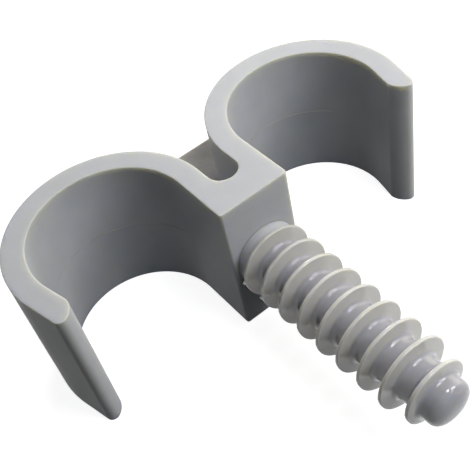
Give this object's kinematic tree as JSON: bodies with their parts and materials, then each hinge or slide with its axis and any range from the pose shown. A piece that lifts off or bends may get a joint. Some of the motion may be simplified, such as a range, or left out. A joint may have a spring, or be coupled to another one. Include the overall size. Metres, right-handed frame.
{
  "type": "double pipe clip",
  "caption": "Plastic double hook clip moulded in one piece with a ribbed wall peg, holding two parallel pipes against a wall.",
  "frame": {"origin": "centre of the block's wall face, on the peg's axis", "axes": "X across the pair of hooks, +Y away from the wall so that the peg points to -Y, Z along the pipes"},
  "size_m": [0.0448, 0.0415, 0.0164],
  "materials": {
    "grey_plastic": "moulded light grey plastic, slightly translucent and softly glossy"
  },
  "bodies": {
    "root": {"double_pipe_clip": "grey_plastic"}
  },
  "joints": []
}
